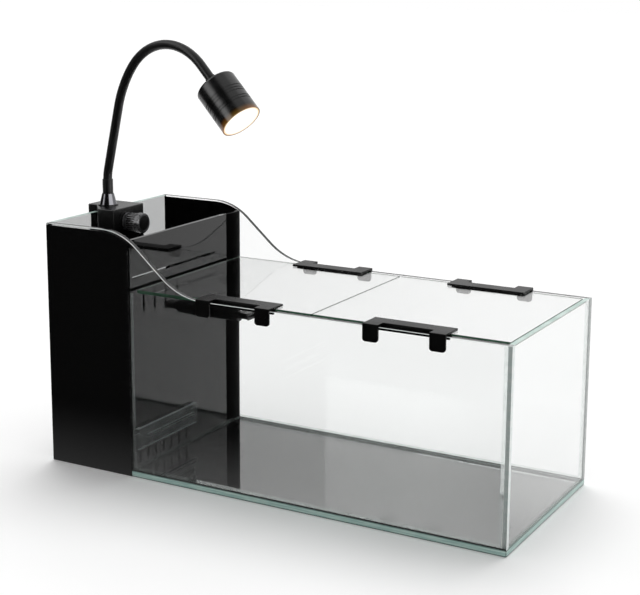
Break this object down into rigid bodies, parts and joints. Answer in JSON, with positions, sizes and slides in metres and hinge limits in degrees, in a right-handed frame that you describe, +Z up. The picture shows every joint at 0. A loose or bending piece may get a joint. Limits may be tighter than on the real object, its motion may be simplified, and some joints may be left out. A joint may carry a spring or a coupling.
{
  "type": "desktop aquarium",
  "caption": "Low glass tank with a tall black filter column at one end, sweeping rims, lift-off glass lids on hooked clips, a return nozzle and a clamped gooseneck lamp.",
  "frame": {"origin": "centre of the tank's underside, on the table", "axes": "+X from the filter column to the far end, +Y from the front to the back, +Z up"},
  "size_m": [0.5085, 0.2094, 0.4304],
  "materials": {
    "black_film": "gloss",
    "glass": "polished",
    "grey_glass": "polished",
    "black_acrylic": "gloss",
    "clear_acrylic": "clear gloss",
    "black_silicone": "satin",
    "clear_silicone": "clear satin",
    "black_plastic": "moulded",
    "clear_hose": "clear satin",
    "pump_plastic": "moulded",
    "impeller_plastic": "moulded",
    "ceramic": "porous ceramic",
    "rubber": "matt",
    "basket_plastic": "moulded",
    "sponge": "open foam",
    "floss": "fibre wool",
    "clip_plastic": "gloss",
    "clamp_paint": "satin",
    "brass": "machined",
    "steel": "machined",
    "knob_plastic": "satin",
    "black_chrome": "black chrome",
    "neck_metal": "satin",
    "lamp_paint": "satin anodised",
    "lens": "frosted",
    "aluminium": "machined",
    "board": "white solder mask",
    "reflector": "mirror"
  },
  "bodies": {
    "tank": {"base_film": "black_film", "base_glass": "glass", "front_pane": "glass", "back_pane": "glass", "left_pane": "grey_glass", "right_pane": "glass", "column_front_film": "black_film", "column_back_film": "black_film", "partition": "black_acrylic", "intake_guard": "clear_acrylic", "corner_seal": "black_silicone", "display_silicone": "clear_silicone", "column_silicone": "black_silicone", "chamber_divider": "black_acrylic", "outlet_fitting": "black_plastic", "outlet_nut": "black_plastic", "outlet_elbow": "black_plastic", "hose": "clear_hose", "pump_body": "pump_plastic", "pump_cover": "pump_plastic", "pump_shaft": "ceramic", "pump_feet": "rubber", "clamp_body": "clamp_paint", "clamp_outer_pad": "rubber", "clamp_bush": "brass", "lamp_gland": "rubber", "neck_socket": "black_chrome"},
    "lid_left": {"lid_left": "glass", "clip_front_left": "clip_plastic", "clip_back_left": "clip_plastic"},
    "lid_right": {"lid_right": "glass", "clip_front_right": "clip_plastic", "clip_back_right": "clip_plastic"},
    "basket": {"media_basket": "basket_plastic", "filter_sponge": "sponge", "ceramic_rings": "ceramic", "filter_floss": "floss"},
    "outlet_segment": {"outlet_segment": "black_plastic"},
    "outlet_jet": {"outlet_jet": "black_plastic"},
    "impeller": {"pump_impeller": "impeller_plastic"},
    "clamp_pad": {"clamp_pad": "rubber"},
    "clamp_knob": {"clamp_knob": "knob_plastic", "clamp_screw": "steel"},
    "neck_1": {"neck_ferrule": "neck_metal", "neck_link_1": "neck_metal"},
    "neck_2": {"neck_link_2": "neck_metal"},
    "neck_3": {"neck_link_3": "neck_metal"},
    "neck_4": {"neck_link_4": "neck_metal"},
    "neck_5": {"neck_link_5": "neck_metal"},
    "neck_6": {"neck_link_6": "neck_metal"},
    "neck_7": {"neck_link_7": "neck_metal"},
    "lamp_head": {"neck_link_8": "neck_metal", "head_ferrule": "neck_metal", "lamp_shell": "lamp_paint", "lamp_bezel": "lamp_paint", "lamp_lens": "lens", "heat_sink": "aluminium", "led_board": "board", "lamp_reflector": "reflector"}
  },
  "joints": [
    {"name": "lid_left_lift", "type": "slide", "parent": "tank", "child": "lid_left", "axis": [0, 0, 1], "range_m": [0, 0.06]},
    {"name": "lid_right_lift", "type": "slide", "parent": "tank", "child": "lid_right", "axis": [0, 0, 1], "range_m": [0, 0.06]},
    {"name": "basket_lift", "type": "slide", "parent": "tank", "child": "basket", "axis": [0, 0, 1], "range_m": [0, 0.05]},
    {"name": "outlet_turn", "type": "hinge", "parent": "tank", "child": "outlet_segment", "pos_m": [-0.138, 0.042, 0.1415], "axis": [1, 0, 0], "range_deg": [-90, 90]},
    {"name": "outlet_tilt", "type": "hinge", "parent": "outlet_segment", "child": "outlet_jet", "pos_m": [-0.1155, 0.042, 0.1415], "axis": [0, 0, 1], "range_deg": [-12, 12]},
    {"name": "impeller_spin", "type": "hinge", "parent": "tank", "child": "impeller", "pos_m": [-0.1778, 0.042, 0.031], "axis": [1, 0, 0], "continuous": true},
    {"name": "pad_slide", "type": "slide", "parent": "tank", "child": "clamp_pad", "axis": [1, 0, 0], "range_m": [0, 0.003]},
    {"name": "knob_turn", "type": "hinge", "parent": "clamp_pad", "child": "clamp_knob", "pos_m": [-0.2104, -0.0205, 0.241], "axis": [1, 0, 0], "range_deg": [0, 900]},
    {"name": "neck_turn", "type": "hinge", "parent": "tank", "child": "neck_1", "pos_m": [-0.237, -0.018, 0.268], "axis": [0, 0, 1], "range_deg": [-60, 60]},
    {"name": "neck_bend_1", "type": "hinge", "parent": "neck_1", "child": "neck_2", "pos_m": [-0.23044, -0.01916, 0.31357], "axis": [0.1736, 0.9848, 0], "range_deg": [-6, 6]},
    {"name": "neck_bend_2", "type": "hinge", "parent": "neck_2", "child": "neck_3", "pos_m": [-0.22259, -0.02054, 0.34392], "axis": [0.1736, 0.9848, 0], "range_deg": [-6, 6]},
    {"name": "neck_bend_3", "type": "hinge", "parent": "neck_3", "child": "neck_4", "pos_m": [-0.21371, -0.02211, 0.37393], "axis": [0.1736, 0.9848, 0], "range_deg": [-6, 6]},
    {"name": "neck_bend_4", "type": "hinge", "parent": "neck_4", "child": "neck_5", "pos_m": [-0.19796, -0.02488, 0.40081], "axis": [0.1736, 0.9848, 0], "range_deg": [-6, 6]},
    {"name": "neck_bend_5", "type": "hinge", "parent": "neck_5", "child": "neck_6", "pos_m": [-0.17386, -0.02913, 0.41996], "axis": [0.1736, 0.9848, 0], "range_deg": [-6, 6]},
    {"name": "neck_bend_6", "type": "hinge", "parent": "neck_6", "child": "neck_7", "pos_m": [-0.14378, -0.03444, 0.42569], "axis": [0.1736, 0.9848, 0], "range_deg": [-6, 6]},
    {"name": "neck_bend_7", "type": "hinge", "parent": "neck_7", "child": "lamp_head", "pos_m": [-0.11449, -0.0396, 0.41669], "axis": [0.1736, 0.9848, 0], "range_deg": [-6, 6]}
  ],
  "couplings": [
    {"joint": "pad_slide", "follows": "knob_turn", "m_per_rad": 0.00015915}
  ]
}
